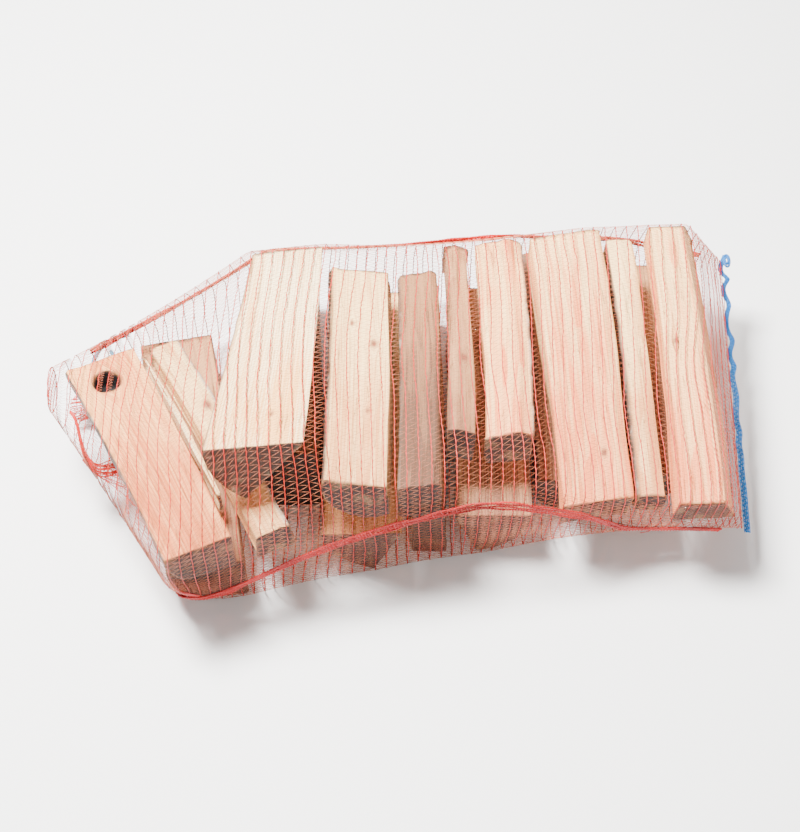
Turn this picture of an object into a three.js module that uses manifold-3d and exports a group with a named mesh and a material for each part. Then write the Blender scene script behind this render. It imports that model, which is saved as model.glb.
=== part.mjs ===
// A net bag of split firewood, lying on its broad side. Millimetres, +Z up.
// +X runs along the bag to its sewn end, and the near ends of the logs face -Y.
import * as THREE from 'three';
import { mergeVertices } from 'three/addons/utils/BufferGeometryUtils.js';
import Module from 'manifold-3d';

const wasm = await Module();
wasm.setup();

// Driving dimensions of the logs
const ARC_POINTS = 28; // points round a whole trunk
const LENGTH_STEPS = 4; // stretches along a log
const LOG_CLEARANCE = 0.7;
const BOW_SHARE = 0.008; // how far a log bows, as a share of its length
const START_HEIGHT = 320;
const LOWERING_STEP = 2;
const FINEST_STEP = 0.05;
const MOST_SLIP = 6;
const SLIP_STEP = 2;
const SLIP_EFFORT = 0.4; // height a log would have to lose for each millimetre it slips

// Driving dimensions of the net bag
const NET_THICKNESS = 1;
const NET_COVER = 0.3; // the share of its area that the net's threads cover
const NET_CLEARANCE = 0.5;
const FLOOR_TO_LOG = NET_THICKNESS + NET_CLEARANCE;
const RING_SIDES = 24;
const RING_PITCH = 17;
const RING_SAG = 0.0022; // how much the net draws in, per ring pitch between two ridges
const RING_MIDDLE = { y: -10, z: 70 };
const SLACK_PASSES = 400;
const SEWN_END_X = 316;
const SEWN_END_NEAR = { y: -142, z: 46 };
const SEWN_END_FAR = { y: 128, z: 92 };
const OPEN_END_X = -318;
const OPEN_END_CENTRE = { y: -26, z: 98 };
const OPEN_END_RADIUS = 20;

// The gathered mouth, a neck under the overhanging end of the log with the knot hole
const NECK_ROOT = [-262, 0, 44];
const NECK_LIP = [-310, 5, 16];
const NECK_TIE_SHARE = 0.65; // how far along the neck it is tied
const NECK_TIE = NECK_ROOT.map((start, axis) => start + (NECK_LIP[axis] - start) * NECK_TIE_SHARE);
const NECK_ROOT_RADIUS = 22;
const NECK_TIE_RADIUS = 9;
const NECK_LIP_RADIUS = 14;
const NECK_SIDES = 20;

// The trims. A selvedge is a band of doubled mesh, and its height above the floor is given
// at places along X.
const TRIM_GAP = 0.4;
const SEAM_WIDTH = 6.5;
const SEAM_THICKNESS = 2.6;
const SEAM_WAVE = 1.3; // how far it waves to each side
const SEAM_LIFT = 2.6; // how far it waves up and down
const SEAM_WAVES = 8;
const SEAM_STEPS = 64;
const SEAM_OVERHANG = 5;
const SELVEDGE_WIDTH = 9;
const SELVEDGE_THICKNESS = 1.2;
const SELVEDGE_OFFSET = 2.8;
const FRONT_SELVEDGE = [
  [-290, 70], [-205, 20], [-95, 72], [0, 106], [80, 122], [165, 92], [215, 56], [300, 46],
];
const BACK_SELVEDGE = [[-290, 96], [-160, 100], [0, 112], [150, 104], [300, 90]];

// The drawstring: a turn round the neck, its knot and its two free ends.
const CORD_DIAMETER = 3.6;
const CORD_SIDES = 8;
const CORD_STEP = 8;
const KNOT_RADIUS = 4.6;
const KNOT_STRETCH = [1.15, 0.8, 0.9];
const TAIL_ROUTES = {
  drawstring_tail_long: [
    [-295, 25.6, 24], [-297, 32, 15], [-300, 42, 6], [-303, 56, 2.3], [-304, 72, 2.3],
    [-298, 88, 2.3], [-286, 98, 2.3], [-272, 104, 2.3],
  ],
  drawstring_tail_short: [
    [-289.5, 25.2, 22], [-286, 32, 13], [-283, 41, 5], [-280, 54, 2.3], [-281, 70, 2.3], [-288, 83, 2.3],
  ],
};

// Wood colours
const CREAM = 0xf3e2c4;
const PALE = 0xecd3b0;
const WARM = 0xe9b98f;
const TAN = 0xc9a67e;
const GREY = 0xb59f85;
const NET_RED = 0xd8453a;
const SEAM_BLUE = 0x1f7fb4;
const CORD_TEAL = 0x1a9cae;

// Each log is a round trunk of birch or alder cut along split faces. A split face is
// [the direction it faces in degrees, seen from the near end, its distance from the pith].
// at is the middle of the log seen from above, turn brings its near end towards +X,
// lift raises its near end, taper is how much narrower its far end is, and skew is how far
// off square its ends are sawn.
const LOWER_LOGS = [
  {
    name: 'lower_log_left', color: TAN, radius: 58, length: 250, at: [-190, -70], turn: 10,
    splits: [[92, 8], [0, 14]],
  },
  {
    name: 'lower_log_deep', color: GREY, radius: 72, length: 232, at: [-98, 20], taper: 0.3,
    splits: [[90, 26], [180, 30], [2, 28]],
  },
  {
    name: 'lower_log_wedge', color: WARM, radius: 72, length: 268, at: [-30, -28], taper: 0.12,
    splits: [[92, 3], [340, 2]],
  },
  {
    name: 'lower_log_slab', color: TAN, radius: 66, length: 262, at: [31, -14], taper: 0.2,
    splits: [[88, 44], [180, 18], [2, 18], [270, 32]],
  },
  {
    name: 'lower_log_corner', color: WARM, radius: 70, length: 256, at: [88, -16], taper: 0.2,
    splits: [[90, 3], [198, 3]],
  },
  {
    name: 'lower_log_half', color: TAN, radius: 40, length: 262, at: [164, 28], taper: -0.1,
    splits: [[88, 18]],
  },
  {
    name: 'lower_log_end', color: PALE, radius: 54, length: 240, at: [244, 22], taper: -0.15,
    splits: [[90, 4], [182, 4]],
  },
];
const MIDDLE_LOGS = [
  {
    name: 'grey_log', color: GREY, radius: 60, length: 258, at: [22, -34], lift: 8,
    skew: -0.1, splits: [[97, 20], [55, 25], [182, 20], [3, 19], [270, 24]],
  },
  {
    name: 'tan_log', color: TAN, radius: 46, length: 240, at: [57, 12], lift: 10,
    skew: 0.14, splits: [[72, 21], [110, 22], [180, 14], [-3, 13], [264, 20]],
  },
  {
    name: 'orange_log', color: WARM, radius: 62, length: 244, at: [94, 16], lift: 8,
    skew: -0.12, splits: [[99, 23], [60, 26], [184, 24], [-4, 22], [268, 20]],
  },
];
const UPPER_LOGS = [
  {
    name: 'pale_log', color: PALE, radius: 62, length: 242, at: [-157, -80], turn: 28, lift: 5,
    taper: 0.12, skew: 0.1, splits: [[98, 20], [62, 23], [176, 19], [8, 18], [272, 14]],
  },
  {
    name: 'knot_hole_log', color: PALE, radius: 55, length: 228, at: [-219, -110], turn: 27, lift: 3,
    taper: -0.08, skew: 0.06, splits: [[90, 8], [0, 9], [262, 42]],
    knotHole: { x: -27, fromFarEnd: 27 },
  },
  {
    name: 'thin_log', color: CREAM, radius: 60, length: 176, at: [-197, -66], turn: 27.5, lift: 4,
    splits: [[88, 20], [176, 4], [-6, 3], [268, 10]],
  },
  {
    name: 'bright_log', color: CREAM, radius: 84, length: 250, at: [-114, -28], turn: -2, lift: 11,
    taper: 0.24, skew: -0.15, splits: [[90, 2], [322, 3]],
  },
  {
    name: 'half_log', color: PALE, radius: 37, length: 262, at: [-37, -36], lift: 9,
    skew: 0.1, splits: [[88, 12], [4, 23]],
  },
  {
    name: 'wide_log', color: WARM, radius: 90, length: 272, at: [166, -10], turn: 4, lift: -9,
    taper: -0.06, skew: -0.09, splits: [[92, 24], [66, 31], [181, 34], [0, 32], [270, 22]],
  },
  {
    name: 'narrow_log', color: PALE, radius: 60, length: 262, at: [217, -8], turn: 4, lift: -9,
    taper: 0.12, skew: 0.12, splits: [[74, 23], [112, 21], [180, 15], [1, 15], [270, 18]],
  },
  {
    name: 'right_log', color: WARM, radius: 54, length: 278, at: [263, -16], turn: 3, lift: -10,
    taper: 0.18, splits: [[90, 28], [182, 24], [22, 29], [270, 18]],
  },
];

// The hole that a rotted knot left in a log, a blind hole narrowing downwards.
const KNOT_HOLE_RADIUS = 12;
const KNOT_HOLE_BOTTOM_RADIUS = 8;
const KNOT_HOLE_DEPTH = 22;
const KNOT_HOLE_SIDES = 16;

const radians = THREE.MathUtils.degToRad;

function material(name, color, roughness) {
  return new THREE.MeshStandardMaterial({ name, color, roughness, metalness: 0 });
}

// The part of a polygon on the inner side of a straight split.
function splitOff(points, facing, distance) {
  const normal = new THREE.Vector2(Math.cos(radians(facing)), Math.sin(radians(facing)));
  const kept = [];
  points.forEach((point, i) => {
    const next = points[(i + 1) % points.length];
    const here = point.dot(normal) - distance;
    const there = next.dot(normal) - distance;
    if (here <= 0) kept.push(point);
    if (here * there < 0) kept.push(point.clone().lerp(next, here / (here - there)));
  });
  return kept;
}

// The section of a split log, seen from its near end, with the pith at the origin.
function logSection({ radius, splits }) {
  let points = [];
  for (let i = 0; i < ARC_POINTS; i += 1) {
    const angle = (2 * Math.PI * i) / ARC_POINTS;
    points.push(new THREE.Vector2(radius * Math.cos(angle), radius * Math.sin(angle)));
  }
  for (const [facing, distance] of splits) points = splitOff(points, facing, distance);
  return new THREE.Shape(points);
}

// A log along Z with its near end at +Z, tapered to its far end, bowed a little and sawn a
// little off square, then turned to lie in the bag. Its middle is at the origin.
function logGeometry(log) {
  const { length, taper = 0, skew = 0, turn = 0, lift = 0 } = log;
  const options = { depth: length, steps: LENGTH_STEPS, bevelEnabled: false };
  let geometry = new THREE.ExtrudeGeometry(logSection(log), options);
  const position = geometry.attributes.position;
  for (let i = 0; i < position.count; i += 1) {
    const [x, y, z] = [position.getX(i), position.getY(i), position.getZ(i)];
    const along = z / length;
    const width = 1 - taper * (1 - along);
    const bow = BOW_SHARE * length * Math.sin(Math.PI * along);
    position.setXYZ(i, x * width + bow, y * width + bow, z + skew * x);
  }
  if (log.knotHole) geometry = geometryOf(solidOf(geometry).subtract(knotHoleSolid(log)));
  geometry.center();
  geometry.rotateX(Math.PI / 2 - radians(lift));
  geometry.rotateZ(radians(turn));
  return geometry;
}

function knotHoleSolid({ splits: [[, top]], knotHole }) {
  const height = 2 * KNOT_HOLE_DEPTH;
  const slope = (KNOT_HOLE_RADIUS - KNOT_HOLE_BOTTOM_RADIUS) / KNOT_HOLE_DEPTH;
  const upperRadius = KNOT_HOLE_BOTTOM_RADIUS + slope * height;
  const hole = new THREE.CylinderGeometry(upperRadius, KNOT_HOLE_BOTTOM_RADIUS, height, KNOT_HOLE_SIDES);
  hole.translate(knotHole.x, top, knotHole.fromFarEnd);
  return solidOf(hole);
}

function bare(geometry) {
  const copy = geometry.clone();
  copy.deleteAttribute('normal');
  copy.deleteAttribute('uv');
  return mergeVertices(copy, 1e-4);
}

function solidOf(geometry) {
  const merged = bare(geometry);
  const vertProperties = new Float32Array(merged.attributes.position.array);
  const triVerts = new Uint32Array(merged.index.array);
  return new wasm.Manifold(new wasm.Mesh({ numProp: 3, vertProperties, triVerts }));
}

function geometryOf(solid) {
  const { vertProperties, triVerts } = solid.getMesh();
  const geometry = new THREE.BufferGeometry();
  geometry.setAttribute('position', new THREE.BufferAttribute(new Float32Array(vertProperties), 3));
  geometry.setIndex(new THREE.BufferAttribute(new Uint32Array(triVerts), 1));
  const faceted = geometry.toNonIndexed();
  faceted.computeVertexNormals();
  return faceted;
}

// The same log with a clearance added on every side.
function roomier(log) {
  const splits = log.splits.map(([facing, distance]) => [facing, distance + LOG_CLEARANCE]);
  return { ...log, radius: log.radius + LOG_CLEARANCE, splits, length: log.length + 2 * LOG_CLEARANCE };
}

// How high the middle of a log rests when it is lowered onto the pile at a place.
function restingHeight(roomy, lowest, [x, y], pile) {
  const { min, max } = roomy.boundingBox();
  const floor = FLOOR_TO_LOG - lowest;
  const near = pile.filter(({ box }) => box.min[0] < x + max[0] && box.max[0] > x + min[0]
    && box.min[1] < y + max[1] && box.max[1] > y + min[1]);
  const touches = (height) => {
    const lowered = roomy.translate([x, y, height]);
    return near.some(({ placed }) => !placed.intersect(lowered).isEmpty());
  };
  let height = START_HEIGHT;
  for (let step = LOWERING_STEP; step > FINEST_STEP; step /= 2) {
    while (height - step >= floor && !touches(height - step)) height -= step;
  }
  return height - floor < 2 * FINEST_STEP ? floor : height;
}

// Lets each log slip sideways a little into the lowest place it finds.
function pileUp(logs) {
  const pile = [];
  for (const log of logs) {
    const geometry = logGeometry(log);
    const solid = solidOf(geometry);
    const roomy = solidOf(logGeometry(roomier(log)));
    const lowest = solid.boundingBox().min[2];
    let best = null;
    for (let slip = -MOST_SLIP; slip <= MOST_SLIP; slip += SLIP_STEP) {
      const place = [log.at[0] + slip, log.at[1]];
      const height = restingHeight(roomy, lowest, place, pile);
      const effort = height + SLIP_EFFORT * Math.abs(slip);
      if (!best || effort < best.effort) best = { effort, centre: [...place, height] };
    }
    const placed = solid.translate(best.centre);
    const box = placed.boundingBox();
    pile.push({ log, geometry, placed, box, edges: edgesOf(placed), centre: best.centre });
  }
  return pile;
}

// The points where the edges of the pile cross a slice of the bag, as [y, z] pairs.
function sliceOutline(pile, from, to) {
  const points = [];
  for (const { edges } of pile) {
    for (const [a, b] of edges) {
      const low = Math.max(from, Math.min(a[0], b[0]));
      const high = Math.min(to, Math.max(a[0], b[0]));
      if (low > high) continue;
      const run = b[0] - a[0];
      for (const x of [low, high]) {
        const share = Math.abs(run) < 1e-6 ? 0 : (x - a[0]) / run;
        points.push([a[1] + share * (b[1] - a[1]), a[2] + share * (b[2] - a[2])]);
      }
      if (Math.abs(run) < 1e-6) points.push([b[1], b[2]]);
    }
  }
  return points;
}

function edgesOf(solid) {
  const { vertProperties: v, triVerts } = solid.getMesh();
  const at = (i) => [v[3 * i], v[3 * i + 1], v[3 * i + 2]];
  const edges = [];
  for (let i = 0; i < triVerts.length; i += 3) {
    for (const [j, k] of [[0, 1], [1, 2], [2, 0]]) {
      if (triVerts[i + j] < triVerts[i + k]) edges.push([at(triVerts[i + j]), at(triVerts[i + k])]);
    }
  }
  return edges;
}

// How far a set of [y, z] points reaches in each direction of a ring of the net.
function reachOf(points) {
  return ringDirections.map(([dy, dz]) => Math.max(...points.map(([y, z]) => y * dy + z * dz)));
}

const ringDirections = Array.from({ length: RING_SIDES }, (_, k) => {
  const angle = (2 * Math.PI * k) / RING_SIDES - Math.PI / 2;
  return [Math.cos(angle), Math.sin(angle)];
});

// The rings of the net: taut round the logs and slightly slack from ridge to ridge.
function ringReaches(pile) {
  const count = Math.round((SEWN_END_X - OPEN_END_X) / RING_PITCH);
  const pitch = (SEWN_END_X - OPEN_END_X) / count;
  const stations = Array.from({ length: count + 1 }, (_, i) => OPEN_END_X + i * pitch);
  const logReaches = stations.map((x) => {
    const points = sliceOutline(pile, x - pitch, x + pitch);
    return points.length ? reachOf(points) : null;
  });
  const circle = ringDirections.map(([dy, dz]) => [
    OPEN_END_CENTRE.y + OPEN_END_RADIUS * dy, OPEN_END_CENTRE.z + OPEN_END_RADIUS * dz]);
  const openEnd = reachOf(circle);
  const sewnEnd = reachOf([[SEWN_END_NEAR.y, SEWN_END_NEAR.z], [SEWN_END_FAR.y, SEWN_END_FAR.z]]);
  let reaches = stations.map((_, i) => ringDirections.map((__, k) => (
    openEnd[k] + ((sewnEnd[k] - openEnd[k]) * i) / count)));
  const middle = ringDirections.map(([dy, dz]) => dy * RING_MIDDLE.y + dz * RING_MIDDLE.z);
  for (let pass = 0; pass < SLACK_PASSES; pass += 1) {
    reaches = reaches.map((reach, i) => {
      if (i === 0 || i === count) return reach;
      return reach.map((_, k) => {
        const between = (reaches[i - 1][k] + reaches[i + 1][k]) / 2;
        const slack = between - (between - middle[k]) * RING_SAG;
        return logReaches[i] ? Math.max(slack, logReaches[i][k]) : slack;
      });
    });
  }
  return { stations, reaches };
}

// The corners of one ring of the net, offset outwards.
function ringCorners(x, reach, offset) {
  return reach.map((_, k) => {
    const next = (k + 1) % RING_SIDES;
    const [ay, az] = ringDirections[k];
    const [by, bz] = ringDirections[next];
    const cross = ay * bz - az * by;
    const a = reach[k] + offset;
    const b = reach[next] + offset;
    return [x, (a * bz - b * az) / cross, (b * ay - a * by) / cross];
  });
}

// A closed solid through rings of corners, with flat ends.
function loftedSolid(rings) {
  const sides = rings[0].length;
  const corners = rings.flat();
  const triangles = [];
  for (let i = 0; i + 1 < rings.length; i += 1) {
    for (let k = 0; k < sides; k += 1) {
      const a = i * sides + k;
      const b = i * sides + ((k + 1) % sides);
      triangles.push([a, b, a + sides], [b, b + sides, a + sides]);
    }
  }
  const last = (rings.length - 1) * sides;
  for (let k = 1; k + 1 < sides; k += 1) {
    triangles.push([0, k + 1, k], [last, last + k, last + k + 1]);
  }
  const vertProperties = new Float32Array(corners.flat());
  const triVerts = new Uint32Array(triangles.flat());
  return new wasm.Manifold(new wasm.Mesh({ numProp: 3, vertProperties, triVerts }));
}

// The gathered neck of the bag, as rings square to a line from its root to its lip.
function neckSolid(wall) {
  const stops = [
    [NECK_ROOT, NECK_ROOT_RADIUS], [NECK_TIE, NECK_TIE_RADIUS], [NECK_LIP, NECK_LIP_RADIUS],
  ];
  const along = new THREE.Vector3(...NECK_LIP).sub(new THREE.Vector3(...NECK_ROOT)).normalize();
  const across = new THREE.Vector3(0, 0, 1).cross(along).normalize();
  const up = along.clone().cross(across);
  const rings = stops.map(([centre, radius]) => Array.from({ length: NECK_SIDES }, (_, k) => {
    const angle = (2 * Math.PI * k) / NECK_SIDES;
    return new THREE.Vector3(...centre)
      .addScaledVector(across, (radius - wall) * Math.cos(angle))
      .addScaledVector(up, (radius - wall) * Math.sin(angle))
      .toArray();
  }));
  if (wall) {
    const beyond = along.clone().multiplyScalar(NET_THICKNESS);
    rings[2] = rings[2].map(([x, y, z]) => [x + beyond.x, y + beyond.y, z + beyond.z]);
  }
  return loftedSolid(rings);
}

function netBag({ stations, reaches }) {
  const outer = loftedSolid(stations.map((x, i) => ringCorners(x, reaches[i], FLOOR_TO_LOG)));
  const last = stations.length - 1;
  const inset = (x, i) => (i === 0 ? x + NET_THICKNESS : i === last ? x - NET_THICKNESS : x);
  const inner = loftedSolid(stations.map((x, i) => (
    ringCorners(inset(x, i), reaches[i], NET_CLEARANCE))));
  return outer.add(neckSolid(0)).subtract(inner.add(neckSolid(NET_THICKNESS)));
}

// The overlock seam along the sewn end, a wavy band just outside the net.
function seamSolid() {
  const rings = [];
  for (let i = 0; i <= SEAM_STEPS; i += 1) {
    const share = i / SEAM_STEPS;
    const wave = Math.sin(2 * Math.PI * SEAM_WAVES * share) * share;
    const inside = SEWN_END_X + TRIM_GAP + (1 + wave) * SEAM_WAVE;
    const y = THREE.MathUtils.lerp(SEWN_END_NEAR.y - SEAM_OVERHANG, SEWN_END_FAR.y + SEAM_OVERHANG, share);
    const z = THREE.MathUtils.lerp(SEWN_END_NEAR.z, SEWN_END_FAR.z, share)
      + SEAM_LIFT * Math.cos(2 * Math.PI * SEAM_WAVES * share) * share;
    const top = z + SEAM_THICKNESS / 2;
    const bottom = z - SEAM_THICKNESS / 2;
    rings.push([
      [inside + SEAM_WIDTH, y, top], [inside + SEAM_WIDTH, y, bottom], [inside, y, bottom], [inside, y, top],
    ]);
  }
  return loftedSolid(rings);
}

// The point of a ring of the net at a height, on its near (-1) or far (+1) side, with the
// direction that the net faces there.
function ringPoint(corners, side, height) {
  for (let k = 0; k < RING_SIDES; k += 1) {
    const [, ay, az] = corners[k];
    const [, by, bz] = corners[(k + 1) % RING_SIDES];
    const facing = ringDirections[(k + 1) % RING_SIDES];
    if ((az - height) * (bz - height) <= 0 && az !== bz && facing[0] * side > 0) {
      return { y: ay + ((by - ay) * (height - az)) / (bz - az), z: height, facing };
    }
  }
  return null;
}

// A band along one long side of the bag, lying on the net.
function selvedgeSolid({ stations, reaches }, side, heights) {
  const curve = new THREE.CubicInterpolant(heights.map(([x]) => x), heights.map(([, z]) => z), 1);
  const rings = [];
  stations.forEach((x, i) => {
    if (x < heights[0][0] || x > heights[heights.length - 1][0]) return;
    const corners = ringCorners(x, reaches[i], FLOOR_TO_LOG);
    const [height] = curve.evaluate(x);
    const { y, z, facing: [fy, fz] } = ringPoint(corners, side, height);
    const corner = (across, out) => [
      x, y + out * fy - across * fz, z + out * fz + across * fy,
    ];
    const half = SELVEDGE_WIDTH / 2;
    const outside = SELVEDGE_OFFSET + SELVEDGE_THICKNESS;
    rings.push([
      corner(-half, SELVEDGE_OFFSET), corner(-half, outside),
      corner(half, outside), corner(half, SELVEDGE_OFFSET),
    ]);
  });
  return loftedSolid(rings);
}

// A turn of the drawstring round the waist of the neck.
function drawstringTurn() {
  const cordRadius = CORD_DIAMETER / 2;
  const turnRadius = NECK_TIE_RADIUS + 2 * TRIM_GAP + cordRadius;
  const profile = Array.from({ length: CORD_SIDES + 1 }, (_, k) => {
    const angle = (2 * Math.PI * k) / CORD_SIDES;
    return new THREE.Vector2(turnRadius + cordRadius * Math.cos(angle), cordRadius * Math.sin(angle));
  });
  const geometry = new THREE.LatheGeometry(profile, NECK_SIDES);
  const axis = new THREE.Vector3(...NECK_LIP).sub(new THREE.Vector3(...NECK_ROOT)).normalize();
  geometry.applyQuaternion(new THREE.Quaternion().setFromUnitVectors(new THREE.Vector3(0, 1, 0), axis));
  return geometry;
}

function knotGeometry() {
  const geometry = new THREE.IcosahedronGeometry(KNOT_RADIUS, 1);
  geometry.scale(...KNOT_STRETCH);
  return geometry;
}

function tailGeometry(route) {
  const path = new THREE.CatmullRomCurve3(route.map((point) => new THREE.Vector3(...point)));
  const section = new THREE.Shape();
  section.absarc(0, 0, CORD_DIAMETER / 2, 0, 2 * Math.PI);
  const steps = Math.ceil(path.getLength() / CORD_STEP);
  const options = { steps, curveSegments: CORD_SIDES, extrudePath: path, bevelEnabled: false };
  return new THREE.ExtrudeGeometry(section, options);
}

// The net is mostly holes, so the wood shows through it.
function openNet() {
  const finish = material('red net', NET_RED, 0.6);
  finish.transparent = true;
  finish.opacity = NET_COVER;
  return finish;
}

const bundle = new THREE.Group();
bundle.name = 'firewood_bundle';

function addMesh(name, geometry, finish, position = [0, 0, 0]) {
  const mesh = new THREE.Mesh(geometry, finish);
  mesh.name = name;
  mesh.position.set(...position);
  bundle.add(mesh);
}

const pile = pileUp([...LOWER_LOGS, ...MIDDLE_LOGS, ...UPPER_LOGS]);
for (const { log, geometry, centre } of pile) {
  addMesh(log.name, geometry, material('wood', log.color ?? PALE, 0.8), centre);
}
const net = ringReaches(pile);
addMesh('net_bag', geometryOf(netBag(net)), openNet());
const frontSelvedge = selvedgeSolid(net, -1, FRONT_SELVEDGE);
addMesh('selvedge_front', geometryOf(frontSelvedge), material('red net', NET_RED, 0.6));
const backSelvedge = selvedgeSolid(net, 1, BACK_SELVEDGE);
addMesh('selvedge_back', geometryOf(backSelvedge), material('red net', NET_RED, 0.6));
addMesh('blue_seam', geometryOf(seamSolid()), material('blue thread', SEAM_BLUE, 0.7));
addMesh('drawstring_turn', drawstringTurn(), material('teal tape', CORD_TEAL, 0.5), NECK_TIE);
const knotReach = NECK_TIE_RADIUS + CORD_DIAMETER + 3 * TRIM_GAP + KNOT_RADIUS * KNOT_STRETCH[1];
const knotPlace = [NECK_TIE[0], NECK_TIE[1] + knotReach, NECK_TIE[2]];
addMesh('drawstring_knot', knotGeometry(), material('teal tape', CORD_TEAL, 0.5), knotPlace);
for (const [name, route] of Object.entries(TAIL_ROUTES)) {
  addMesh(name, tailGeometry(route), material('teal tape', CORD_TEAL, 0.5));
}

// The frame's origin is under the middle of the bag.
const bounds = new THREE.Box3().setFromObject(bundle);
const middle = bounds.getCenter(new THREE.Vector3());
bundle.position.set(-middle.x, -middle.y, 0);

export default bundle;
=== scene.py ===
"""A red net bag of split firewood on a pale floor, seen from its near side and above."""

import math

import bpy
import numpy as np
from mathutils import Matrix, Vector


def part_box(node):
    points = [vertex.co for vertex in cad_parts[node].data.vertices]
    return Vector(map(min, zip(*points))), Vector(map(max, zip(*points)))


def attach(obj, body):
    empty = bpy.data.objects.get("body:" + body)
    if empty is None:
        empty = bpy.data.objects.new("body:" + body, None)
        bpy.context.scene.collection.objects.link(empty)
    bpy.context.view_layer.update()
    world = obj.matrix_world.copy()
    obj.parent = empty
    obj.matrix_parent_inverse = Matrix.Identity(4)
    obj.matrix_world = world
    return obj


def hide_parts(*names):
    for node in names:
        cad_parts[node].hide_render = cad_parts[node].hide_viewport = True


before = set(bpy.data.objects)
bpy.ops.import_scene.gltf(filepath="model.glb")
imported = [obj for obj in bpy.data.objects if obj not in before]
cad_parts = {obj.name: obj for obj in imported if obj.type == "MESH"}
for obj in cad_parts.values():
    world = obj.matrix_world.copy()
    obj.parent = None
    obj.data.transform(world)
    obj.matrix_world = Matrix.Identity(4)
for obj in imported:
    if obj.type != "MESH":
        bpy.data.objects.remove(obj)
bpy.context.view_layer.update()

MM = 0.001

# The camera looks down on the bag as in the photograph, with soft light from above
VIEW_ELEVATION = 58
VIEW_DISTANCE = 1.55
VIEW_TARGET = (0.0, -0.008, 0.075)
VIEW_LENS = 72
FLOOR_COLOUR = (0.86, 0.85, 0.83, 1)
SKY_STRENGTH = 0.5
LIGHT_TARGET = (0, 0, 0.05)
LIGHTS = (  # name, place, size and power
    ("key light", (-0.55, 0.25, 1.8), 0.5, 225),
    ("fill light", (0.6, -1.2, 1.2), 1.4, 9),
    ("back light", (0.2, 1.5, 1.2), 1.2, 12),
)

# Wood colours as (split face, its darker streaks, end grain), in sRGB. The end grain colours are
# the sawn wood's own darker tone with painted shade added, for the shade the sawn ends lie in
CREAM = ((255, 236, 184), (236, 178, 106), (56, 29, 12))
PALE = ((252, 214, 146), (214, 146, 88), (44, 21, 8))
PINK = ((242, 172, 104), (202, 106, 52), (52, 27, 11))
WARM = ((255, 212, 142), (238, 130, 74), (52, 27, 11))
TAN = ((190, 138, 90), (118, 74, 48), (42, 23, 9))
GREY = ((160, 114, 72), (92, 60, 38), (42, 23, 9))

# Each log is a round trunk cut along split faces. A split face is
# (the direction it faces in degrees, seen from the near end, its distance from the pith in mm).
# The split face that bark_face names carries bark.
LOGS = {
    "lower_log_left": dict(wood=TAN, radius=58, length=250, turn=10, splits=[(92, 8), (0, 14)]),
    "lower_log_deep": dict(
        wood=GREY, birch=True, radius=72, length=232, taper=0.3,
        splits=[(90, 26), (180, 30), (2, 28)],
    ),
    "lower_log_wedge": dict(
        wood=PALE, radius=72, length=268, taper=0.12, splits=[(92, 3), (340, 2)]
    ),
    "lower_log_slab": dict(
        wood=TAN, radius=66, length=262, taper=0.2,
        splits=[(88, 44), (180, 18), (2, 18), (270, 32)],
    ),
    "lower_log_corner": dict(
        wood=TAN, radius=70, length=256, taper=0.2, splits=[(90, 3), (198, 3)]
    ),
    "lower_log_half": dict(wood=TAN, radius=40, length=262, taper=-0.1, splits=[(88, 18)]),
    "lower_log_end": dict(
        wood=TAN, birch=True, radius=54, length=240, taper=-0.15, splits=[(90, 4), (182, 4)]
    ),
    "grey_log": dict(
        wood=GREY, bark_face=182, radius=60, length=258, lift=8, skew=-0.1,
        splits=[(97, 20), (55, 25), (182, 20), (3, 19), (270, 24)],
    ),
    "tan_log": dict(
        wood=TAN, radius=46, length=240, lift=10, skew=0.14,
        splits=[(72, 21), (110, 22), (180, 14), (-3, 13), (264, 20)],
    ),
    "orange_log": dict(
        wood=WARM, birch=True, bark_face=-4, radius=62, length=244, lift=8, skew=-0.12,
        splits=[(99, 23), (60, 26), (184, 24), (-4, 22), (268, 20)],
    ),
    "pale_log": dict(
        wood=PALE, birch=True, bark_face=8,
        radius=62, length=242, turn=28, lift=5, taper=0.12, skew=0.1,
        splits=[(98, 20), (62, 23), (176, 19), (8, 18), (272, 14)],
    ),
    "knot_hole_log": dict(
        wood=PINK, radius=55, length=228, turn=27, lift=3, taper=-0.08, skew=0.06,
        splits=[(90, 8), (0, 9), (262, 42)],
    ),
    "thin_log": dict(
        wood=CREAM, radius=60, length=176, turn=27.5, lift=4,
        splits=[(88, 20), (176, 4), (-6, 3), (268, 10)],
    ),
    "bright_log": dict(
        wood=CREAM, radius=84, length=250, turn=-2, lift=11, taper=0.24, skew=-0.15,
        splits=[(90, 2), (322, 3)],
    ),
    "half_log": dict(
        wood=PALE, radius=37, length=262, lift=9, skew=0.1, splits=[(88, 12), (4, 23)]
    ),
    "wide_log": dict(
        wood=WARM, radius=90, length=272, turn=4, lift=-9, taper=-0.06, skew=-0.09,
        splits=[(92, 24), (66, 31), (181, 34), (0, 32), (270, 22)],
    ),
    "narrow_log": dict(
        wood=PALE, bark_face=180, radius=60, length=262, turn=4, lift=-9, taper=0.12, skew=0.12,
        splits=[(74, 23), (112, 21), (180, 15), (1, 15), (270, 18)],
    ),
    "right_log": dict(
        wood=WARM, radius=54, length=278, turn=3, lift=-10, taper=0.18,
        splits=[(90, 28), (182, 24), (22, 29), (270, 18)],
    ),
}
BOW_SHARE = 0.008
KNOT_HOLE = dict(log="knot_hole_log", x=-27, from_far_end=27, radius=12, bottom_radius=8, depth=22)

# Marks in the wood, the painted shade inside the knot hole, and its barks, in sRGB
KNOT_COLOUR = (122, 62, 40)
SPECK_COLOUR = (176, 118, 78)
FACE_CRACK_COLOUR = (120, 72, 42)
END_CRACK_COLOUR = (70, 48, 32)
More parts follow.
